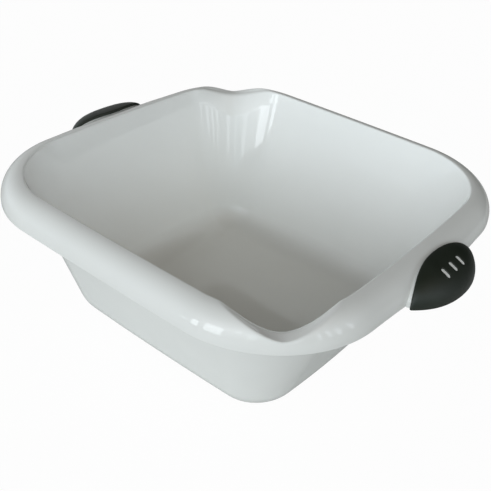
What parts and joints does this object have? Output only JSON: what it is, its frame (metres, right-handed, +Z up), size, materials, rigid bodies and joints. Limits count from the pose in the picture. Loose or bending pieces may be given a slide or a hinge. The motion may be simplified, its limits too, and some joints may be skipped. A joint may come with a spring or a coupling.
{
  "type": "washing-up basin",
  "caption": "Square plastic washing-up basin with sloping walls, a rolled rim, pouring corners and soft grips on its side lugs.",
  "frame": {"origin": "middle of the flat base, on the surface that the basin stands on", "axes": "+X towards one grip, +Z up; the pouring corners lie at +X -Y and at -X +Y"},
  "size_m": [0.3996, 0.347, 0.14],
  "materials": {
    "basin": "glossy white moulded polypropylene",
    "grip": "matt black soft-touch elastomer"
  },
  "bodies": {
    "root": {"basin_body": "basin", "grip_right": "grip", "grip_left": "grip"}
  },
  "joints": []
}
